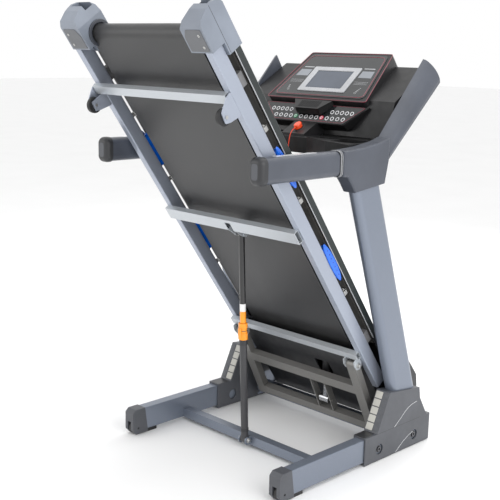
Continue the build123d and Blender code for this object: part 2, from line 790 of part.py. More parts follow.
def loop_face(plane, ends):
    """Face inside a belt drawn tight round two or more circles."""
    with BuildSketch(plane) as outline:
        with BuildLine() as line:
            for s, h, r in ends:
                CenterArc((s, h), r, 0, 360)
        make_hull(line.edges())
    return outline.sketch


with BuildPart() as running_belt:
    belt_ends = [(front_roller_s, -roller_height), (rear_roller_s, -roller_height)]
    extrude(loop_face(deck_side(-belt_half), [(*end, belt_r + belt_thick) for end in belt_ends]), 2 * belt_half)
    extrude(
        loop_face(deck_side(-belt_half - 1), [(*end, belt_r) for end in belt_ends]),
        2 * belt_half + 2,
        mode=Mode.SUBTRACT,
    )
save(running_belt.part, "running_belt")

with BuildPart() as foot_rail:
    with BuildSketch(deck_cut(240)) as rail_sketch:
        with BuildLine():
            Polyline(
                (222, 88.6),
                (222, 97),
                (227, 100),
                (304, 100),
                (deck_half, 93),
                (deck_half, 72),
                (306, 72),
                (306, 84.2),
                (236, 84.2),
                (236, 88.6),
                close=True,
            )
        make_face()
    extrude(rail_sketch.sketch, amount=1383.5 - 240)
save_pair(foot_rail.part, "foot_rail")

with BuildPart() as grey_cushions:
    for s in (258, 1298):
        deck_block((283, 302), (s - 22, s + 22), (-board_low + 0.1, -tube_height - 0.1))
    both_sides(grey_cushions)
save(grey_cushions.part, "grey_cushions")

with BuildPart() as blue_cushions:
    for s in (602, 986):
        deck_block((283, 305.5), (s - 66, s + 66), (-board_low + 0.1, -tube_height - 0.1))
        with BuildSketch(deck_side(305.5)) as oval:
            with Locations((s, -57)):
                SlotOverall(158, 29)
        extrude(oval.sketch, amount=4.5)
    both_sides(blue_cushions)
save(blue_cushions.part, "blue_cushions")

cap_x = (228.0, 314.0)
with BuildPart() as rear_cap:
    cap_outline = [
        (1421.5, 0.5),
        (1500, 0.5),
        (1516, -9),
        (1530, -42),
        (1534, -70),
        (1528, -92),
        (1514, -101),
        (1384, -101),
        (1384, -47),
        (1421.5, -47),
    ]
    slab(cap_outline, *cap_x, deck_side)
    with BuildSketch(deck_level(2)) as corner_sketch:
        with BuildLine():
            Polyline((cap_x[0] - 1, 1492), (cap_x[0] + 26, 1540), (cap_x[0] - 1, 1540), close=True)
        make_face()
    extrude(corner_sketch.sketch, amount=-110, mode=Mode.SUBTRACT)
    deck_block((cap_x[0] + 14, cap_x[1] - 12), (1500, 1540), (-92, -62), Mode.SUBTRACT)
    pocket_end = belt_half + 4
    deck_rod(rear_roller_s, -roller_height, 36, cap_x[0] - 1, pocket_end, Mode.SUBTRACT)
    deck_block((cap_x[0] - 1, pocket_end), (1383, rear_roller_s), (-roller_height - 36, -roller_height + 36), Mode.SUBTRACT)
    deck_rod(rear_roller_s, -roller_height, pin_r + fit_gap, pocket_end - 1, 292, Mode.SUBTRACT)
save_pair(rear_cap.part, "rear_cap")

# ---- transport wheels under the deck's rear end ------------------------------------------------------
wheel_place = (1250.0, 50.0)
wheel_r = 25.0
wheel_pin_r = 5.0
with BuildPart() as wheel_brackets:
    outer_plate = [(1219, 0.2), (1298, 0.2), (1294, 18), (1268, 58), (1236, 62), (1228, 44)]
    inner_plate = [(1215, 0.2), (1267, 0.2), (1267, 58), (1236, 62), (1228, 44)]
    slab(outer_plate, 300.5, 304, deck_side)
    slab(inner_plate, 280, 283.5, deck_side)
    fillet(wheel_brackets.edges().filter_by(Axis.X), 4)
    deck_block((282, 302), (1219, 1266), (0.2, 3))
    deck_rod(*wheel_place, wheel_pin_r + fit_gap, 270, 310, Mode.SUBTRACT)
    both_sides(wheel_brackets)
save(wheel_brackets.part, "wheel_brackets")

for hand, name in ((1, "right"), (-1, "left")):
    with BuildPart() as deck_wheel:
        deck_rod(*wheel_place, wheel_r, hand * 292 - 7, hand * 292 + 7)
        fillet(deck_wheel.edges(), 3)
        deck_rod(*wheel_place, wheel_pin_r + fit_gap, hand * 292 - 8, hand * 292 + 8, Mode.SUBTRACT)
    save(deck_wheel.part, f"deck_wheel_{name}")

with BuildPart() as deck_axles:
    deck_rod(front_roller_s, -roller_height, pin_r, -279, 279)
    deck_rod(rear_roller_s, -roller_height, pin_r, -291, 291)
    for x0 in (-307, 279):
        deck_rod(*wheel_place, wheel_pin_r, x0, x0 + 28)
save(deck_axles.part, "deck_axles")

# ---- drive: rollers, motor, pulley and belt ------------------------------------------------------------
pulley_x = (-262.0, -248.0)
pulley_r = 30.0
motor_place = (30.0, -85.0)
motor_pulley_r = 20.0
with BuildPart() as front_roller:
    deck_rod(front_roller_s, -roller_height, roller_r, -belt_half - 3, belt_half + 3)
    deck_rod(front_roller_s, -roller_height, 12, pulley_x[1], -belt_half)
    deck_rod(front_roller_s, -roller_height, pulley_r, *pulley_x)
    deck_rod(front_roller_s, -roller_height, pin_r + fit_gap, -270, 270, Mode.SUBTRACT)
save(front_roller.part, "front_roller")

with BuildPart() as rear_roller:
    deck_rod(rear_roller_s, -roller_height, roller_r, -belt_half - 3, belt_half + 3)
    deck_rod(rear_roller_s, -roller_height, pin_r + fit_gap, -270, 270, Mode.SUBTRACT)
save(rear_roller.part, "rear_roller")

with BuildPart() as drive_motor:
    deck_rod(*motor_place, 42, -235, -70)
    deck_rod(*motor_place, 36, -70, -60)
    deck_block((-220, -90), (motor_place[0] - 36, motor_place[0] + 36), (-50, -10.2))
    deck_rod(*motor_place, pin_r + fit_gap, -236, -215, Mode.SUBTRACT)
save(drive_motor.part, "drive_motor")

with BuildPart() as motor_pulley:
    deck_rod(*motor_place, motor_pulley_r, *pulley_x)
    deck_rod(*motor_place, pin_r, pulley_x[1], -217)
save(motor_pulley.part, "motor_pulley")

drive_gap = 0.4
drive_ends = [(*motor_place, motor_pulley_r), (front_roller_s, -roller_height, pulley_r)]
with BuildPart() as drive_belt:
    outside = [(s, h, r + drive_gap + 3) for s, h, r in drive_ends]
    inside = [(s, h, r + drive_gap) for s, h, r in drive_ends]
    extrude(loop_face(deck_side(pulley_x[0] + 1), outside), 12)
    extrude(loop_face(deck_side(pulley_x[0]), inside), 14, mode=Mode.SUBTRACT)
save(drive_belt.part, "drive_belt")

# ---- motor pan and hood -----------------------------------------------------------------------------------
jack_x = 69.0  # middle of the lifting jack
jack_pivot = (110.0, -45.0)
jack_eye = (-30.0, 54.0)
pan_front = -145.0
pan_half = 278.0
with BuildPart() as motor_pan:
    deck_block((-pan_half, pan_half), (pan_front, 212), (-10, -5))
    for x0 in (-pan_half, pan_half - 4):
        deck_block((x0, x0 + 4), (pan_front, 188), (-66, -5))
    deck_block((-pan_half, pan_half), (pan_front, pan_front + 4), (-66, -5))
    deck_rod(front_roller_s, -roller_height, pin_r + fit_gap, -pan_half - 1, pan_half + 1, Mode.SUBTRACT)
    deck_block((jack_x - 32, jack_x + 32), (-10, 112), (-12, 0), Mode.SUBTRACT)
    jack_ear = [(138, -8), (114, -8), (97, -44), (103, -57), (117, -59), (138, -30)]
    for x0 in (jack_x - 29, jack_x + 25):
        slab(jack_ear, x0, x0 + 4, deck_side)
    deck_rod(*jack_pivot, pin_r, jack_x - 27, jack_x + 27)
save(motor_pan.part, "motor_pan")

hood_outside = [
    (-150, -66.5),
    (-157, -98),
    (-128, -127),
    (-98, -152),
    (-60, -172),
    (60, -165),
    (150, -132),
    (236, -106),
    (236, -66.5),
]
hood_inside = [
    (-146, -60),
    (-152.7, -96.4),
    (-125.4, -122),
    (-95.4, -148.6),
    (-58.6, -167.9),
    (59, -161),
    (148.7, -128.4),
    (240, -101),
    (240, -60),
]
with BuildPart() as motor_hood:
    slab(hood_outside, -deck_half, deck_half, deck_side)
    fillet(motor_hood.faces().filter_by(Axis.X).edges().filter_by(Axis.X, reverse=True).group_by(Axis.Z)[-1], 0.5)
    slab(hood_inside, -deck_half + 4, deck_half - 4, deck_side, mode=Mode.SUBTRACT)
save(motor_hood.part, "motor_hood")

# ---- lift frame and its jack ------------------------------------------------------------------------------------
lift_foot = to_deck(*fold_pivot)
lift_run = Vector(lift_foot[0] - lift_pivot[0], lift_foot[1] - lift_pivot[1])
lift_length = lift_run.length
lift_unit = lift_run.normalized()
lift_thick = 25.0
lift_start = deck_zero + deck_dir * lift_pivot[0] + deck_down * lift_pivot[1]
lift_dir = deck_dir * lift_unit.X + deck_down * lift_unit.Y
lift_plane = Plane(origin=lift_start, x_dir=(1, 0, 0), z_dir=Vector(1, 0, 0).cross(lift_dir))


def lift_block(x, t, mode=Mode.ADD, thick=lift_thick):
    """Block of the lift frame between two distances t from its hinge."""
    with BuildSketch(lift_plane.offset(-thick / 2)) as outline:
        with Locations(((x[0] + x[1]) / 2, (t[0] + t[1]) / 2)):
            Rectangle(x[1] - x[0], t[1] - t[0])
    extrude(outline.sketch, amount=thick, mode=mode)


cross_high = (94.0, 132.0)
cross_low = (lift_length - 33, lift_length)
plate_x = ((34.0, 38.0), (100.0, 104.0))
with BuildPart() as lift_frame:
    for x0, x1 in (lift_x, (-lift_x[1], -lift_x[0])):
        lift_block((x0, x1), (0, lift_length))
        deck_rod(*lift_pivot, lift_thick / 2, x0, x1)
        deck_rod(*lift_foot, lift_thick / 2, x0, x1)
        lift_block((x0 + wall, x1 - wall), (18, lift_length - 18), Mode.SUBTRACT, lift_thick - 2 * wall)
    for cross in (cross_high, cross_low):
        lift_block((-lift_x[0], lift_x[0]), cross)
        lift_block((-lift_x[0], lift_x[0]), (cross[0] + wall, cross[1] - wall), Mode.SUBTRACT, lift_thick - 2 * wall)
    for x in plate_x:
        lift_block(x, (cross_high[1], cross_low[0]))
    for hand in (1, -1):
        deck_rod(*lift_pivot, pin_r, hand * (lift_x[0] - 6.5), hand * (lift_x[1] + 6.5))
        deck_rod(*lift_foot, stub_r, hand * lift_x[1], hand * (hook_x[1] + 2))
    deck_rod(*jack_eye, pin_r, plate_x[0][0] - 3, plate_x[1][1] + 3)
save(lift_frame.part, "lift_frame")

jack_line = Vector(jack_eye[0] - jack_pivot[0], jack_eye[1] - jack_pivot[1])
jack_length = jack_line.length
jack_unit = jack_line.normalized()
jack_dir = deck_dir * jack_unit.X + deck_down * jack_unit.Y
jack_side = deck_dir * -jack_unit.Y + deck_down * jack_unit.X
jack_origin = deck_zero + deck_dir * jack_pivot[0] + deck_down * jack_pivot[1] + Vector(jack_x, 0, 0)


def jack_piece(low, high, r, offset=0.0, mode=Mode.ADD):
    """Round bar along the jack, between two distances from its upper pin."""
    base = jack_origin + jack_dir * low + jack_side * offset
    with BuildSketch(Plane(origin=base, x_dir=(1, 0, 0), z_dir=jack_dir)) as outline:
        Circle(r)
    extrude(outline.sketch, amount=high - low, mode=mode)


jack_bore = 11.35
with BuildPart() as incline_motor:
    deck_rod(*jack_pivot, 13, jack_x - 22, jack_x + 22)
    jack_piece(4, 112, 16)
    jack_piece(14, 60, 22, 40)
    with BuildSketch(Plane(origin=jack_origin + jack_dir * 22 + jack_side * 20, x_dir=(1, 0, 0), z_dir=jack_dir)) as gearbox:
        RectangleRounded(34, 50, 6)
    extrude(gearbox.sketch, amount=24)
    jack_piece(20, 113, jack_bore, mode=Mode.SUBTRACT)
    deck_rod(*jack_pivot, pin_r + fit_gap, jack_x - 23, jack_x + 23, Mode.SUBTRACT)
save(incline_motor.part, "incline_motor")

with BuildPart() as incline_tube:
    jack_piece(45, jack_length - 8, 11)
    deck_rod(*jack_eye, 14, jack_x - 20, jack_x + 20)
    deck_rod(*jack_eye, pin_r + 3, jack_x - 21, jack_x + 21, Mode.SUBTRACT)
save(incline_tube.part, "incline_tube")
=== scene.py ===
"""Looks of the folded treadmill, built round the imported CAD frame. Metres, in the frame's own axes."""
import json
from math import cos, pi, radians, sin

import bmesh
import bpy
from mathutils import Matrix, Vector


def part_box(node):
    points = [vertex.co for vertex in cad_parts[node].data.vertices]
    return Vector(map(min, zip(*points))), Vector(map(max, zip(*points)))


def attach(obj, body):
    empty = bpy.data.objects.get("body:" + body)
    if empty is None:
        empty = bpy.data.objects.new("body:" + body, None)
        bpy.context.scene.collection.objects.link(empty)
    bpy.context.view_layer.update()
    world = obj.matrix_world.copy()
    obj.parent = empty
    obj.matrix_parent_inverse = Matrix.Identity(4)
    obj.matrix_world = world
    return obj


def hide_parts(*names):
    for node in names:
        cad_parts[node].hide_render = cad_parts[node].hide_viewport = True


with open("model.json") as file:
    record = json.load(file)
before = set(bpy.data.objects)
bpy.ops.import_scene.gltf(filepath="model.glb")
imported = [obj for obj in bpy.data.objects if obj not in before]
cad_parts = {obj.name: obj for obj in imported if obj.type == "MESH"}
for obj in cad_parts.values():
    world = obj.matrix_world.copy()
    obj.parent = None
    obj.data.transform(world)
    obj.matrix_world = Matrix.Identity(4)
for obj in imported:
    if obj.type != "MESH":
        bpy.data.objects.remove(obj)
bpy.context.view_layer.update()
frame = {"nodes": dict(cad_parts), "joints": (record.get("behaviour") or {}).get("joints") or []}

MM = 0.001
X = Vector((1, 0, 0))
Y = Vector((0, 1, 0))
Z = Vector((0, 0, 1))
nodes = frame["nodes"]
joints = {joint["name"]: joint for joint in frame["joints"]}
HANDS = ((1, "right"), (-1, "left"))


# ---- places taken from the frame ---------------------------------------------------------------
class Local:
    """Axes of a piece: u runs across, v along and w out of a face. Places are in millimetres."""

    def __init__(self, origin, across, along):
        self.origin = Vector(origin)
        self.u = Vector(across).normalized()
        self.v = Vector(along).normalized()
        self.w = self.u.cross(self.v)

    def at(self, u, v, w=0.0):
        return self.origin + (self.u * u + self.v * v + self.w * w) * MM

    def moved(self, u, v, w=0.0):
        return Local(self.at(u, v, w), self.u, self.v)


def middle(node):
    low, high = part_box(node)
    return (low + high) / 2


def place_of(joint):
    return Vector(joints[joint]["pos_m"])


def axis_of(joint):
    return Vector(joints[joint]["axis"]).normalized()


def upward_normal(node):
    """Normal of a plate's large upper face."""
    largest = max(nodes[node].data.polygons, key=lambda face: face.area)
    normal = largest.normal.copy()
    return normal if normal.z > 0 else -normal


deck_dir = (place_of("rear_roller_spin") - place_of("front_roller_spin")).normalized()
# u is +X, v runs along the deck to its rear end and w comes out of its underside
roller_s = 175.0
roller_h = -58.0
deck = Local(place_of("front_roller_spin"), X, deck_dir).moved(0, -roller_s, -roller_h)
rear_roller_s = roller_s + (place_of("rear_roller_spin") - place_of("front_roller_spin")).length / MM

face_out = upward_normal("lcd_lens")
face_up = face_out.cross(X)
lens_v = 101.0  # middle of the display above the sloping face's foot
face = Local(middle("lcd_lens") - face_out * 1.5 * MM, X, face_up).moved(0, -lens_v)

key_out = -axis_of("start_key_press")
key_up = key_out.cross(X)
key_place = (-58.0, 20.0)  # the start key on its panel, across and up
keys = Local(middle("start_key") - key_out * 2.5 * MM, X, key_up).moved(-key_place[0], -key_place[1])

nose_out = axis_of("safety_key_pull")
nose = Local(middle("safety_key"), X, nose_out.cross(X))

front_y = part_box("boot_right")[1].y
post_x = middle("handle_right").x
handle_low, handle_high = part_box("handle_right")


def back(distance):
    """y of a place that lies this far, in millimetres, behind the front of the base."""
    return front_y - distance * MM


# ---- camera and cord ---------------------------------------------------------------------------
def make_camera():
    yaw, pitch, roll = radians(45.1), radians(-11.6), radians(1.2)
    ahead = Vector((-sin(yaw) * cos(pitch), cos(yaw) * cos(pitch), sin(pitch)))
    level = Vector((cos(yaw), sin(yaw), 0))
    over = level.cross(ahead)
    right = level * cos(roll) + over * sin(roll)
    up = over * cos(roll) - level * sin(roll)
    data = bpy.data.cameras.new("camera")
    data.sensor_width = 36.0
    data.lens = 70.3
    data.shift_x = 0.0106
    data.shift_y = -0.0066
    data.clip_end = 50.0
    camera = bpy.data.objects.new("camera", data)
    turn = Matrix((right, up, -ahead)).transposed().to_4x4()
    camera.matrix_world = Matrix.Translation((2.2146, -2.24486, 1.3481)) @ turn
    bpy.context.scene.collection.objects.link(camera)
    bpy.context.scene.camera = camera


make_camera()


# ---- materials ---------------------------------------------------------------------------------
def new_material(name):
    material = bpy.data.materials.new(name)
    material.use_nodes = True
    tree = material.node_tree
    return material, tree, tree.nodes["Principled BSDF"]


def noise(tree, scale, detail=2.0, stretch=(1, 1, 1)):
    """Noise in the piece's own coordinates."""
    where = tree.nodes.new("ShaderNodeTexCoord")
    scaled = tree.nodes.new("ShaderNodeMapping")
    scaled.inputs["Scale"].default_value = stretch
    texture = tree.nodes.new("ShaderNodeTexNoise")
    texture.inputs["Scale"].default_value = scale
    texture.inputs["Detail"].default_value = detail
    tree.links.new(where.outputs["Object"], scaled.inputs["Vector"])
    tree.links.new(scaled.outputs["Vector"], texture.inputs["Vector"])
    return texture.outputs["Fac"]


def between(tree, factor, low, high, start=0.3, end=0.7):
    """Colours or numbers mixed by a factor, low at start and high at end."""
    ramp = tree.nodes.new("ShaderNodeValToRGB")
    ramp.color_ramp.elements[0].position = start
    ramp.color_ramp.elements[1].position = end
    for element, value in zip(ramp.color_ramp.elements, (low, high)):
        element.color = (*value, 1) if hasattr(value, "__len__") else (value, value, value, 1)
    tree.links.new(factor, ramp.inputs["Fac"])
    return ramp.outputs["Color"]


def add_bump(tree, shader, height, strength, distance):
    bump = tree.nodes.new("ShaderNodeBump")
    bump.inputs["Strength"].default_value = strength
    bump.inputs["Distance"].default_value = distance
    tree.links.new(height, bump.inputs["Height"])
    tree.links.new(bump.outputs["Normal"], shader.inputs["Normal"])


def tinted(colour, share):
    return tuple(channel * share for channel in colour)


def paint(name, colour, rough=0.36, metallic=0.45, coat=0.25, flake=0.10):
    """Powder coat: orange-peel bump, fine metal flake and faint dust."""
    material, tree, shader = new_material(name)
    grain = noise(tree, 1400, 1)
    cloud = noise(tree, 6, 3)
    colours = between(tree, grain, tinted(colour, 1 - flake), tinted(colour, 1 + flake))
    tree.links.new(colours, shader.inputs["Base Color"])
    tree.links.new(between(tree, cloud, rough - 0.04, rough + 0.05), shader.inputs["Roughness"])
    shader.inputs["Metallic"].default_value = metallic
    shader.inputs["Coat Weight"].default_value = coat
    shader.inputs["Coat Roughness"].default_value = 0.22
    add_bump(tree, shader, noise(tree, 420, 2), 0.10, 0.0006)
    return material


def moulded(name, colour, rough=0.5, grain_scale=1100, grain=0.22, coat=0.0):
    """Moulded plastic: spark-eroded grain, slight shade drift and handling sheen."""
    material, tree, shader = new_material(name)
    cloud = noise(tree, 9, 4)
    shade = between(tree, cloud, tinted(colour, 0.88), tinted(colour, 1.12))
    tree.links.new(shade, shader.inputs["Base Color"])
    tree.links.new(between(tree, noise(tree, 35, 3), rough - 0.05, rough + 0.06), shader.inputs["Roughness"])
    shader.inputs["Coat Weight"].default_value = coat
    shader.inputs["Coat Roughness"].default_value = 0.3
    add_bump(tree, shader, noise(tree, grain_scale, 2), grain, 0.0004)
    return material


def gloss(name, colour, rough=0.12):
    """Gloss plastic with a faint ripple."""
    material, tree, shader = new_material(name)
    shade = between(tree, noise(tree, 14, 2), tinted(colour, 0.92), tinted(colour, 1.08))
    tree.links.new(shade, shader.inputs["Base Color"])
    tree.links.new(between(tree, noise(tree, 60, 3), rough, rough + 0.07), shader.inputs["Roughness"])
    shader.inputs["Coat Weight"].default_value = 0.6
    shader.inputs["Coat Roughness"].default_value = 0.06
    add_bump(tree, shader, noise(tree, 90, 1), 0.05, 0.0004)
    return material


def metal(name, colour, rough=0.28, stretch=(1, 1, 1)):
    """Plated or turned steel with fine drawn lines."""
    material, tree, shader = new_material(name)
    lines = noise(tree, 700, 3, stretch)
    shade = between(tree, lines, tinted(colour, 0.82), tinted(colour, 1.1))
    tree.links.new(shade, shader.inputs["Base Color"])
    tree.links.new(between(tree, noise(tree, 40, 3), rough - 0.05, rough + 0.1), shader.inputs["Roughness"])
    shader.inputs["Metallic"].default_value = 1.0
    add_bump(tree, shader, lines, 0.08, 0.0003)
    return material


def rubber(name, colour, rough=0.6):
    """Matt rubber with a fine pitted skin."""
    material, tree, shader = new_material(name)
    shade = between(tree, noise(tree, 25, 4), tinted(colour, 0.8), tinted(colour, 1.25))
    tree.links.new(shade, shader.inputs["Base Color"])
    tree.links.new(between(tree, noise(tree, 50, 3), rough - 0.08, rough + 0.08), shader.inputs["Roughness"])
    add_bump(tree, shader, noise(tree, 900, 3), 0.3, 0.0005)
    return material


def woven(name, colour, rough):
    """Belt fabric: a fine weave across and along the deck, with long rubbed streaks."""
    material, tree, shader = new_material(name)
    where = tree.nodes.new("ShaderNodeTexCoord")
    heights = []
    for direction in ("X", "Z"):
        wave = tree.nodes.new("ShaderNodeTexWave")
        wave.bands_direction = direction
        wave.inputs["Scale"].default_value = 260
        wave.inputs["Distortion"].default_value = 0.6
        tree.links.new(where.outputs["Object"], wave.inputs["Vector"])
        heights.append(wave.outputs["Fac"])
    weave = tree.nodes.new("ShaderNodeMath")
    weave.operation = "MULTIPLY"
    tree.links.new(heights[0], weave.inputs[0])
    tree.links.new(heights[1], weave.inputs[1])
    streaks = noise(tree, 5, 5, (9, 0.7, 0.7))
    shade = between(tree, streaks, tinted(colour, 0.85), tinted(colour, 1.18))
    tree.links.new(shade, shader.inputs["Base Color"])
    tree.links.new(between(tree, streaks, rough - 0.05, rough + 0.06), shader.inputs["Roughness"])
    add_bump(tree, shader, weave.outputs[0], 0.25, 0.0005)
    return material


frame_paint = paint("frame_paint", (0.195, 0.222, 0.275))
deck_paint = paint("deck_paint", (0.36, 0.395, 0.47), 0.34)
bar_paint = paint("bar_paint", (0.50, 0.53, 0.56), 0.33)
lift_paint = paint("lift_paint", (0.23, 0.225, 0.215), 0.42)
boot_plastic = moulded("boot_plastic", (0.075, 0.079, 0.090), 0.42)
dark_plastic = moulded("dark_plastic", (0.028, 0.029, 0.032), 0.42)
hood_plastic = moulded("hood_plastic", (0.020, 0.021, 0.024), 0.36, coat=0.2)
grip_plastic = moulded("grip_plastic", (0.062, 0.070, 0.090), 0.40, coat=0.15)
cap_plastic = moulded("cap_plastic", (0.20, 0.225, 0.27), 0.38, coat=0.15)
cap_dark = moulded("cap_dark", (0.045, 0.050, 0.062), 0.36, coat=0.2)
cap_grey = moulded("cap_grey", (0.13, 0.135, 0.145), 0.48)
console_plastic = moulded("console_plastic", (0.011, 0.011, 0.012), 0.40)
tread_plastic = moulded("tread_plastic", (0.48, 0.47, 0.43), 0.55)
foot_rail_plastic = moulded("foot_rail_plastic", (0.018, 0.024, 0.024), 0.44)
overlay = gloss("overlay", (0.010, 0.012, 0.014), 0.18)
rose = gloss("rose", (0.20, 0.022, 0.042), 0.3)
silver = gloss("silver", (0.42, 0.43, 0.45), 0.25)
# bright silver: the real finish of the pulse strips, and a painted highlight on the boot grooves
silver_and_painted_highlight = gloss("silver_and_painted_highlight", (0.72, 0.73, 0.75), 0.22)
lens = gloss("lens", (0.060, 0.075, 0.105), 0.08)
screen_grey = gloss("screen_grey", (0.24, 0.26, 0.29), 0.2)
key_white = gloss("key_white", (0.75, 0.76, 0.78), 0.3)
key_green = gloss("key_green", (0.02, 0.30, 0.12), 0.25)
key_red = gloss("key_red", (0.60, 0.02, 0.07), 0.25)
safety_red = gloss("safety_red", (0.90, 0.075, 0.015), 0.25)
lanyard_red = rubber("lanyard_red", (0.80, 0.06, 0.02), 0.5)
orange = gloss("orange", (1.0, 0.33, 0.0), 0.28)
strut_black = paint("strut_black", (0.012, 0.012, 0.013), 0.16, 0.1, 0.5, 0.05)
strut_grey = paint("strut_grey", (0.050, 0.050, 0.054), 0.36, 0.2, 0.1, 0.06)
zinc = metal("zinc", (0.55, 0.55, 0.54), 0.30)
dark_zinc = metal("dark_zinc", (0.16, 0.16, 0.17), 0.36)
turned_steel = metal("turned_steel", (0.50, 0.51, 0.53), 0.22, (0.2, 2, 2))
tyre = rubber("tyre", (0.012, 0.012, 0.013), 0.5)
cushion_blue = gloss("cushion_blue", (0.0, 0.13, 0.72), 0.16)
cushion_grey = rubber("cushion_grey", (0.16, 0.16, 0.165))
belt = woven("belt", (0.030, 0.030, 0.031), 0.36)
board = moulded("board", (0.035, 0.033, 0.030), 0.6, 300, 0.3)
motor_enamel = paint("motor_enamel", (0.012, 0.012, 0.014), 0.45, 0.1, 0.1, 0.05)
label_white = gloss("label_white", (0.80, 0.80, 0.79), 0.35)

NODE_MATERIALS = {
    frame_paint: (
        "rail_left", "rail_right", "rear_crossbar", "front_crossbar",
        "upright_left", "upright_right", "strut_bracket",
    ),
    deck_paint: ("side_tube_left", "side_tube_right", "wheel_brackets"),
    bar_paint: ("deck_crossbars",),
    lift_paint: ("lift_frame",),
    boot_plastic: ("boot_left", "boot_right", "rail_caps"),
    dark_plastic: ("handle_caps", "motor_pan"),
    hood_plastic: ("motor_hood",),
    grip_plastic: ("handle_left", "handle_right", "corner_shells", "wing_left", "wing_right"),
    cap_plastic: ("rear_cap_left", "rear_cap_right"),
    console_plastic: ("console_tray", "console_housing", "fan_grille"),
    overlay: ("display_panel", "key_panel"),
    silver: ("lcd_bezel",),
    lens: ("lcd_lens",),
    key_green: ("start_key",),
    key_red: ("stop_key",),
    safety_red: ("safety_key",),
    strut_grey: ("strut_tube",),
    strut_black: ("strut_cylinder",),
    orange: ("strut_release",),
    zinc: ("deck_axles", "lanyard_clip"),
    dark_zinc: ("base_bolts",),
    turned_steel: ("front_roller", "rear_roller", "motor_pulley", "incline_tube"),
    tyre: (
        "deck_wheel_left", "deck_wheel_right", "base_wheel_left", "base_wheel_right",
        "foot_pads", "drive_belt",
    ),
    cushion_grey: ("grey_cushions",),
    belt: ("running_belt",),
    foot_rail_plastic: ("foot_rail_left", "foot_rail_right"),
    board: ("deck_board",),
    motor_enamel: ("drive_motor", "incline_motor"),
}
for material, names in NODE_MATERIALS.items():
    for name in names:
        nodes[name].data.materials.clear()
        nodes[name].data.materials.append(material)


# ---- mesh tools --------------------------------------------------------------------------------
class Shape:
    """Collects solids in one mesh, then becomes one named piece."""

    def __init__(self):
        self.mesh = bmesh.new()

    def loft(self, rings, closed_ends=True):
        """Skin through rings of the same number of points."""
        rows = [[self.mesh.verts.new(point) for point in ring] for ring in rings]
        for low, high in zip(rows, rows[1:]):
            for i in range(len(low)):
                j = (i + 1) % len(low)
                self.mesh.faces.new((low[i], low[j], high[j], high[i]))
        if closed_ends:
            self.mesh.faces.new(list(reversed(rows[0])))
            self.mesh.faces.new(rows[-1])

    def prism(self, local, outline, low, high):
        """Outline in a local face, drawn from one height to another."""
        self.loft([[local.at(u, v, w) for u, v in outline] for w in (low, high)])

    def lathe(self, local, profile, turns=40):
        """Profile of (radius, height) pairs turned about the local w axis."""
        angles = [2 * pi * i / turns for i in range(turns)]
        rings = [[local.at(r * cos(a), r * sin(a), w) for a in angles] for r, w in profile]
        self.loft(rings)

    def ring(self, local, inner, outer, low, high, turns=40):
        """Flat ring about the local w axis."""
        angles = [2 * pi * i / turns for i in range(turns)]
        corners = ((inner, low), (outer, low), (outer, high), (inner, high), (inner, low))
        rings = [[local.at(r * cos(a), r * sin(a), w) for a in angles] for r, w in corners[:-1]]
        rows = [[self.mesh.verts.new(point) for point in ring] for ring in rings]
        for low_row, high_row in zip(rows, rows[1:] + rows[:1]):
            for i in range(turns):
                j = (i + 1) % turns
                self.mesh.faces.new((low_row[i], low_row[j], high_row[j], high_row[i]))

    def bead(self, points, radius, closed=False, sides=8):
        """Round bead along a path of points in the row frame; radius is in millimetres."""
        count = len(points)
        rings = []
        for i, point in enumerate(points):
            before = points[(i - 1) % count] if closed or i else point
            after = points[(i + 1) % count] if closed or i < count - 1 else point
            ahead = (after - before).normalized()
            side = ahead.cross(Z if abs(ahead.z) < 0.9 else X).normalized()
            top = side.cross(ahead)
            angles = [2 * pi * k / sides for k in range(sides)]
            rings.append([point + (side * cos(a) + top * sin(a)) * radius * MM for a in angles])
        if closed:
            rings.append(rings[0])
            rows = [[self.mesh.verts.new(p) for p in ring] for ring in rings[:-1]]
            for low, high in zip(rows, rows[1:] + rows[:1]):
                for k in range(sides):
                    j = (k + 1) % sides
                    self.mesh.faces.new((low[k], low[j], high[j], high[k]))
        else:
            self.loft(rings)

    def piece(self, name, body, material, slot, bevel=0.0, segments=2, smooth=40.0):
        """Closes the mesh and gives it a body, a material and a bevelled edge in millimetres."""
        bmesh.ops.recalc_face_normals(self.mesh, faces=self.mesh.faces)
        mesh = bpy.data.meshes.new(name)
        self.mesh.to_mesh(mesh)
        self.mesh.free()
        mesh.materials.append(material)
        made = bpy.data.objects.new(name, mesh)
        bpy.context.scene.collection.objects.link(made)
        if bevel:
            rounding = made.modifiers.new("rounding", "BEVEL")
            rounding.width = bevel * MM
            rounding.segments = segments
            rounding.limit_method = "ANGLE"
            rounding.angle_limit = radians(35)
        for polygon in mesh.polygons:
            polygon.use_smooth = True
        mesh.set_sharp_from_angle(angle=radians(smooth))
        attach(made, body)
        return made


def rectangle(width, length, centre=(0, 0)):
    u, v = centre
    a, b = width / 2, length / 2
    return [(u - a, v - b), (u + a, v - b), (u + a, v + b), (u - a, v + b)]


def rounded(points, radius, steps=5):
    """Outline with each corner turned into a smooth quadratic round."""
    result = []
    for i, corner in enumerate(points):
        here = Vector(corner)
        before = Vector(points[i - 1]) - here
        after = Vector(points[(i + 1) % len(points)]) - here
        reach = min(radius, before.length * 0.45, after.length * 0.45)
        start = here + before.normalized() * reach
        end = here + after.normalized() * reach
        for k in range(steps + 1):
            t = k / steps
            result.append(tuple(start * (1 - t) ** 2 + here * 2 * t * (1 - t) + end * t * t))
    return result


def oval(width, length, turns=28):
    return [(width / 2 * cos(2 * pi * i / turns), length / 2 * sin(2 * pi * i / turns)) for i in range(turns)]


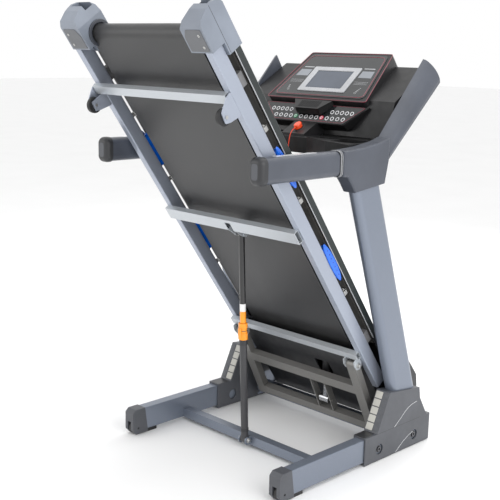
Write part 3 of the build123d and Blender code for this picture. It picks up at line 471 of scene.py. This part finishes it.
# ---- lanyard -----------------------------------------------------------------------------------
def make_lanyard():
    socket = Vector((0, back(317), 1083.2 * MM))
    along = nose_out.cross(X)
    exit_point = socket + nose_out * 10 * MM - along * 18 * MM
    route = [
        exit_point,
        Vector((0, back(349.91), 1.0768)),
        Vector((0.0003, back(360.5), 1.061)),
        Vector((0.0006, back(366), 1.035)),
        Vector((0.0009, back(369.6), 0.990)),
        Vector((0.0011, back(371.8), 0.932)),
        Vector((0.0012, back(373), 0.872)),
        Vector((0.0013, back(373.7), 0.812)),
        Vector((0.00135, back(374.1), 0.752)),
        Vector((0.0014, back(374.3), 0.692)),
    ]
    curve = bpy.data.curves.new("lanyard", "CURVE")
    curve.dimensions = "3D"
    curve.bevel_depth = 1.5 * MM
    curve.bevel_resolution = 4
    curve.use_fill_caps = True
    spline = curve.splines.new("NURBS")
    spline.points.add(len(route) - 1)
    for point, place in zip(spline.points, route):
        point.co = (*place, 1)
    spline.order_u = 3
    spline.use_endpoint_u = True
    spline.resolution_u = 12
    curve.materials.append(lanyard_red)
    lanyard = bpy.data.objects.new("lanyard", curve)
    bpy.context.scene.collection.objects.link(lanyard)
    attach(lanyard, "safety_key")
    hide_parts("lanyard_cord")


make_lanyard()


# ---- boots and rails ---------------------------------------------------------------------------
def side_face(x, hand):
    """Local face looking out sideways: u is +Y and v is +Z on the right, mirrored on the left."""
    return Local((x, 0, 0), (0, hand, 0), Z)


def make_boot_details():
    boot_low, boot_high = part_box("boot_right")
    outer = boot_high.x
    slope_foot = Vector((0, back(300), 97 * MM))
    slope_top = Vector((0, back(240), 228 * MM))
    slope_dir = (slope_top - slope_foot).normalized()
    slope_long = (slope_top - slope_foot).length / MM
    for hand, side in HANDS:
        slope = Local((hand * boot_low.x, *slope_foot.yz), X * hand, slope_dir)
        out = 1 if slope.w.y < 0 else -1
        treads, bumps = Shape(), Shape()
        pitch = (slope_long - 8) / 5
        for i in range(5):
            v = 5 + pitch * (i + 0.5)
            wide = 27.0
            tread = rounded(rectangle(wide, pitch - 3.4, (3 + wide / 2, v)), 2)
            treads.prism(slope, tread, -1 * out, 1.6 * out)
            bumps.prism(slope, rounded(rectangle(17, pitch - 8, (43, v)), 6), -1 * out, 1.5 * out)
        treads.piece(f"boot_treads_{side}", "base", tread_plastic, "bezel_silver", 0.6)
        bumps.piece(f"boot_bumps_{side}", "base", boot_plastic, "dark_plastic", 1.2, 3)
        plate = Shape()
        top = Local((hand * post_x, back(331), 98 * MM), X, Y)
        plate.prism(top, rounded(rectangle(42, 56), 4), -0.5, 0.5)
        plate.piece(f"boot_top_plate_{side}", "base", hood_plastic, "dark_plastic", 0.3)
        # beads along the boot's two decorative grooves: the grooves are real, their bright silver is a
        # painted highlight
        groove_highlights = Shape()
        for curve in (
            [(85, 161), (108, 158), (131, 151), (150, 140), (165, 128), (188, 112), (207, 99)],
            [(98, 54), (118, 49), (135, 42), (153, 33), (169, 23), (184, 12), (194, 5)],
        ):
            points = [Vector((hand * (outer - 0.6 * MM), back(d), z * MM)) for d, z in curve]
            groove_highlights.bead(points, 1.0)
        groove_highlights.piece(f"boot_groove_highlights_{side}", "base", silver_and_painted_highlight, "bezel_silver")
        seam = Shape()
        face_here = side_face(hand * outer, hand)
        line = [(back(300) / MM, 98.4), (back(60) / MM, 98.4), (back(60) / MM, 97.2), (back(300) / MM, 97.2)]
        line = [(hand * u, v) for u, v in line]
        seam.prism(face_here, line if hand > 0 else line[::-1], -0.4, 0.05)
        seam.piece(f"boot_seam_{side}", "base", dark_plastic, "dark_plastic")


def make_bolt_heads():
    """Hexagon heads on the lift frame's pins, with washers."""
    pin = place_of("incline")
    for hand, side in HANDS:
        head = Shape()
        spot = Local(pin + X * hand * 290.0 * MM, Y, Z * hand)
        head.lathe(spot, [(10, -1.5), (10, 0.2), (9.4, 0.8)], 32)
        head.lathe(spot, [(7.4, 0.8), (7.4, 5.0), (6.4, 6.0)], 6)
        head.piece(f"lift_pin_{side}", "deck", zinc, "zinc", 0.4)


make_boot_details()
make_bolt_heads()


# ---- handles and collars -----------------------------------------------------------------------
def rounded_box(width, height, radius):
    return rounded(rectangle(width, height), radius, 8)


def make_handle_details():
    collar_y = handle_high.y
    for hand, side in HANDS:
        centre = Vector((hand * post_x, 0, middle("handle_right").z))
        tube = Local(centre, X, Z)
        for name, material, slot, offset, thick, proud in (
            ("collar_dark", dark_plastic, "dark_plastic", 12.5, 3.0, 1.4),
            ("collar_silver", silver, "bezel_silver", 9.0, 2.2, 1.9),
            ("collar_inner", dark_plastic, "dark_plastic", 5.4, 3.0, 1.4),
            ("collar_rim", silver, "bezel_silver", 2.4, 1.8, 1.9),
        ):
            band = Shape()
            outline = rounded_box(50 + 2 * proud, 76 + 2 * proud, 19)
            at_y = collar_y / MM - offset
            # the local face's w runs to -Y
            band.prism(tube, outline, -at_y - thick / 2, -at_y + thick / 2)
            band.piece(f"{name}_{side}", "base", material, slot, 0.6)
        strip = Shape()
        strip_y = (handle_low.y + handle_high.y) / 2 - 20 * MM
        top = Local((hand * (post_x - 4 * MM), strip_y, handle_high.z), X, Y)
        strip.prism(top, rounded(rectangle(19, 176), 9), -0.8, 0.7)
        strip.piece(f"pulse_strip_{side}", "base", silver_and_painted_highlight, "bezel_silver", 0.5)
        strip = Shape()
        disc = Local((hand * post_x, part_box("handle_caps")[0].y + 0.6 * MM, middle("handle_right").z), X, Z)
        strip.prism(disc, rounded_box(24, 46, 10), -0.4, 1.0)
        strip.piece(f"cap_badge_{side}", "base", boot_plastic, "dark_plastic", 0.8, 3)


make_handle_details()


# ---- console -----------------------------------------------------------------------------------
panel_top = 2.0  # the overlays stand this far proud of their faces


def line_on(shape, local, outline, radius, height):
    """Bead lying on a local face along a closed outline."""
    shape.bead([local.at(u, v, height) for u, v in outline], radius, closed=True)


def make_display():
    outline = rounded([(-197, 21), (197, 21), (165, 227), (-165, 227)], 22, 8)
    border = Shape()
    line_on(border, face, outline, 1.3, panel_top)
    line_on(border, face, rounded([(-221, 3), (221, 3), (180.5, 246), (-180.5, 246)], 8, 4), 1.3, 0.4)
    border.piece("display_border", "base", rose, "panel_gloss")

    gradients = Shape()
    marks = Shape()
    for hand in (1, -1):
        panel = [(hand * 113, 118), (hand * 168, 118), (hand * 163, 152), (hand * 113, 152)]
        gradients.prism(face, panel if hand > 0 else panel[::-1], panel_top - 0.3, panel_top + 0.5)
        bar = [(hand * 112, 163), (hand * 158, 163), (hand * 157, 167), (hand * 112, 167)]
        marks.prism(face, bar if hand > 0 else bar[::-1], panel_top - 0.3, panel_top + 0.4)
        for v in (84, 90, 96):
            rule = [(hand * 114, v), (hand * 171, v), (hand * 171, v + 0.9), (hand * 114, v + 0.9)]
            marks.prism(face, rule if hand > 0 else rule[::-1], panel_top - 0.3, panel_top + 0.3)
    gradients.piece("display_side_panels", "base", screen_grey, "bezel_silver", 0.2)
    marks.piece("display_rules", "base", silver, "bezel_silver")

    ticks = Shape()
    for hand in (1, -1):
        for i in range(5):
            low = 42 + 6 * i
            tick = rectangle(9 - i, 1.1, (hand * (150 + 2 * i), low))
            ticks.prism(face, tick, panel_top - 0.3, panel_top + 0.3)
    ticks.piece("display_ticks", "base", key_white, "bezel_silver")

    glass = Shape()
    glass.prism(face, rounded(rectangle(148, 78, (0, lens_v)), 3), 2.9, 3.25)
    glass.piece("display_glass", "base", lens, "lcd", 0.1)


def make_keys():
    radius = 7.6
    row_low = 20.0
    row_high = 45.0
    pitch = 23.15
    white, pads = Shape(), Shape()
    spots = [((i - 6.5) * pitch, row_low) for i in range(14)]
    spots = [spot for spot in spots if abs(abs(spot[0]) - 58) > 5]
    spots += [(hand * (92 + 21 * i), row_high) for hand in (1, -1) for i in range(5)]
    for u, v in spots:
        spot = keys.moved(u, v)
        white.ring(spot, radius - 2.4, radius, panel_top - 0.3, panel_top + 0.9, 28)
        side, lip = radius - 2.6, radius - 3.4
        profile = [(side, panel_top - 0.3), (side, panel_top + 0.4), (lip, panel_top + 0.9)]
        pads.lathe(spot, profile, 28)
    white.piece("key_rings", "base", key_white, "bezel_silver")
    pads.piece("key_pads", "base", overlay, "panel_gloss")
    for name in ("start_key", "stop_key"):
        centre = keys.moved((-58 if name == "start_key" else 58), row_low)
        icon = Shape()
        icon.ring(centre, 3.0, 5.0, 3.9, 4.35, 28)
        icon.piece(f"{name}_mark", name, key_white, "bezel_silver")
    border = Shape()
    line_on(border, keys, rounded([(-152, 6), (152, 6), (220, 70), (-220, 70)], 8, 4), 1.0, panel_top + 0.1)
    border.piece("key_border", "base", rose, "panel_gloss")


def make_nose():
    """Dark recess ring round the safety key."""
    rim = Shape()
    spot = Local(Vector((0, back(317), 1083.2 * MM)), X, nose_out.cross(X))
    outer = oval(38, 46)
    points_outer = [spot.at(u, v, 0.2) for u, v in outer]
    rim.bead(points_outer, 1.6, closed=True)
    rim.piece("safety_rim", "base", dark_plastic, "console_plastic")


make_display()
make_keys()
make_nose()


# ---- deck --------------------------------------------------------------------------------------
def make_blue_cushions():
    """Crowned oval grips with a row of dimples on each, standing for the four blue cushions. The dimples are
    darker blue discs: painted shade standing in for their hollows.
    """
    grips = Shape()
    pips = Shape()
    for hand in (1, -1):
        for s in (602, 986):
            grips.prism(deck, rounded(rectangle(21.5, 128, (hand * 294, s)), 8), -65.5, -46.5)
            outside = Local(deck.at(hand * 305.4, s, -57), deck.v, deck.w * hand)
            steps = 7
            rings = []
            for k in range(steps):
                t = k / (steps - 1) * pi / 2
                share = 1 - 0.16 * (1 - cos(t))
                rings.append([outside.at(u * share, v * share, 4.3 * sin(t)) for u, v in oval(156, 28, 48)])
            grips.loft(rings)
            for i in range(7):
                u = (i - 3) * 17.0
                pips.lathe(outside.moved(u, 0, 4.0), [(3.4, -0.6), (3.4, 0.1), (2.2, 0.5)], 20)
    made = grips.piece("side_grips", "deck", cushion_blue, "cushion_blue", 0.8, 3, 50)
    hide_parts("blue_cushions")
    # the darker blue of the dimples is painted shade for their hollows
    pips.piece("side_grip_dimples", "deck", gloss("dimple_shade_blue", (0.0, 0.05, 0.38), 0.2), "cushion_blue")


def make_deck_trim():
    line = Shape()
    for hand in (1, -1):
        line.prism(deck, rectangle(2.2, 1143, (hand * 310.6, 811.5)), -72.0, -69.8)
    line.piece("foot_rail_lines", "deck", silver, "bezel_silver")
    ribs = Shape()
    for hand in (1, -1):
        for i in range(6):
            u = hand * (236 + 11 * i)
            ribs.prism(deck, rectangle(4.0, 1110, (u, 811)), -100.0, -99.4)
    ribs.piece("foot_rail_ribs", "deck", foot_rail_plastic, "foot_rail_dark")
    clamps = Shape()
    for hand in (1, -1):
        for s in (468, 858, 1128):
            clamps.prism(deck, rectangle(16, 16, (hand * 292, s)), -65.8, -62.5)
            clamps.prism(deck, rectangle(3, 16, (hand * 301, s)), -62.5, -48)
            clamps.lathe(deck.moved(hand * 291, s, -62.5), [(4.5, 0), (4.5, 3.5), (3.6, 4.2)], 6)
    clamps.piece("board_clamps", "deck", zinc, "zinc", 0.4)


def make_rear_caps():
    """Outer seam, inner screw plate and the guard round each end of the rear roller."""
    for hand, side in HANDS:
        outer = Local(deck.at(hand * 314, 0, 0), deck.v, deck.w * hand)
        seam = Shape()
        low, high = -52.5, -54.0
        strip = [(1386, low), (1532, low), (1532, high), (1386, high)]
        strip = [(u, v * hand) for u, v in strip]
        seam.prism(outer, strip if hand < 0 else strip[::-1], -0.6, 0.06)
        seam.piece(f"rear_cap_seam_{side}", "deck", cap_dark, "grip_plastic")
        plate = Shape()
        under = deck.moved(hand * 268, 1456, 0.5)
        plate.prism(under, rounded([(-34, -30), (38, -30), (38, 38), (-20, 38), (-34, 14)] if hand > 0 else
                                   [(34, -30), (34, 14), (20, 38), (-38, 38), (-38, -30)], 5), -0.6, 1.6)
        plate.piece(f"rear_cap_plate_{side}", "deck", cap_grey, "grip_plastic", 0.9, 3)
        screws = Shape()
        screw_head = [(4.2, 0), (4.2, 0.9), (3.2, 1.5), (1.6, 1.5), (1.4, 0.7)]
        for v in (-16, 20):
            screws.lathe(under.moved(hand * 24, v, 1.5), screw_head, 24)
        screws.piece(f"rear_cap_screws_{side}", "deck", zinc, "zinc")
        guard = Shape()
        axle = Local(deck.at(hand * 221.5, rear_roller_s, roller_h), deck.v, deck.w)
        axle.w = X * hand
        guard.ring(axle, 31.5, 41.0, 0, 6.3, 64)
        guard.piece(f"roller_guard_{side}", "deck", cap_dark, "grip_plastic", 1.2, 3)


make_blue_cushions()
make_deck_trim()
make_rear_caps()


# ---- strut -------------------------------------------------------------------------------------
sleeve_end = 417.0  # end of the release sleeve, along the strut from its lower pin
label_start = 457.5
sticker = (9.9, 10.2)  # inner and outer radius of a sticker on the cylinder


def make_strut_details():
    foot = place_of("strut_hinge")
    strut_dir = axis_of("strut_slide")
    along = Local(foot, X, strut_dir.cross(X))
    label = Shape()
    label.ring(along.moved(0, 0, label_start), *sticker, 0, 26, 40)
    label.piece("strut_label", "strut_cylinder", label_white, "bezel_silver")
    band = Shape()
    band.ring(along.moved(0, 0, sleeve_end + 0.6), *sticker, 0, label_start - sleeve_end - 0.9, 40)
    band.piece("strut_band", "strut_cylinder", orange, "release_orange")
    seam = Shape()
    seam.ring(along.moved(0, 0, 390), 13.3, 13.75, 0, 2.0, 40)
    seam.piece("release_seam", "strut_tube", dark_plastic, "dark_plastic")
    catch = Shape()
    spot = Local(along.at(0, 0, 382) + X * 0 + along.v * 0, X, strut_dir)
    catch.prism(spot, rounded(rectangle(13, 40), 4), 13.0, 18.0)
    catch.piece("release_catch", "strut_tube", orange, "release_orange", 1.6, 3)
    collar = Shape()
    collar.ring(along.moved(0, 0, 340), 12.4, 14.2, 0, 18, 40)
    collar.ring(along.moved(0, 0, 30), 12.4, 13.6, 0, 12, 40)
    collar.piece("strut_collars", "strut_tube", dark_plastic, "dark_plastic", 0.6)
    pin = Shape()
    for hand in (1, -1):
        spot = Local(foot + X * hand * 20.0 * MM, Y, Z * hand)
        pin.lathe(spot, [(9.5, -2.8), (9.5, 0), (8.6, 1.0)], 32)
        pin.lathe(spot, [(7.0, 1.0), (7.0, 4.6), (6.0, 5.4)], 6)
    pin.piece("strut_pin_heads", "base", zinc, "zinc", 0.4)


make_strut_details()


# ---- floor and light ---------------------------------------------------------------------------
def make_floor():
    mesh = bpy.data.meshes.new("floor")
    size = 30.0
    corners = [(-size, -size, 0), (size, -size, 0), (size, size, 0), (-size, size, 0)]
    mesh.from_pydata(corners, [], [(0, 1, 2, 3)])
    material, tree, shader = new_material("floor_white")
    shade = between(tree, noise(tree, 2, 3), (0.91, 0.91, 0.91), (0.93, 0.93, 0.93))
    tree.links.new(shade, shader.inputs["Base Color"])
    shader.inputs["Roughness"].default_value = 0.6
    mesh.materials.append(material)
    floor = bpy.data.objects.new("floor", mesh)
    bpy.context.scene.collection.objects.link(floor)


def add_light(name, place, target, size, power):
    data = bpy.data.lights.new(name, "AREA")
    data.shape = "RECTANGLE"
    data.size, data.size_y = size
    data.energy = power
    light = bpy.data.objects.new(name, data)
    aim = (Vector(target) - Vector(place)).to_track_quat("-Z", "Y")
    light.matrix_world = Matrix.Translation(place) @ aim.to_matrix().to_4x4()
    bpy.context.scene.collection.objects.link(light)


def make_lights():
    world = bpy.data.worlds.new("studio")
    world.use_nodes = True
    background = world.node_tree.nodes["Background"]
    background.inputs["Color"].default_value = (1.0, 1.0, 1.0, 1)
    background.inputs["Strength"].default_value = 1.0
    bpy.context.scene.world = world
    add_light("key", (3.6, -0.6, 2.2), (0, 0, 0.7), (2.4, 2.4), 60)
    add_light("fill", (-2.6, -3.2, 2.0), (0, 0, 0.7), (2.5, 2.0), 26)
    add_light("top", (0.4, 0.2, 4.0), (0, 0, 0.6), (3.0, 3.0), 38)
    add_light("rim", (-0.5, 3.6, 2.4), (0, 0, 0.9), (2.5, 1.5), 40)


make_floor()
make_lights()
bpy.context.scene.view_settings.view_transform = "Standard"
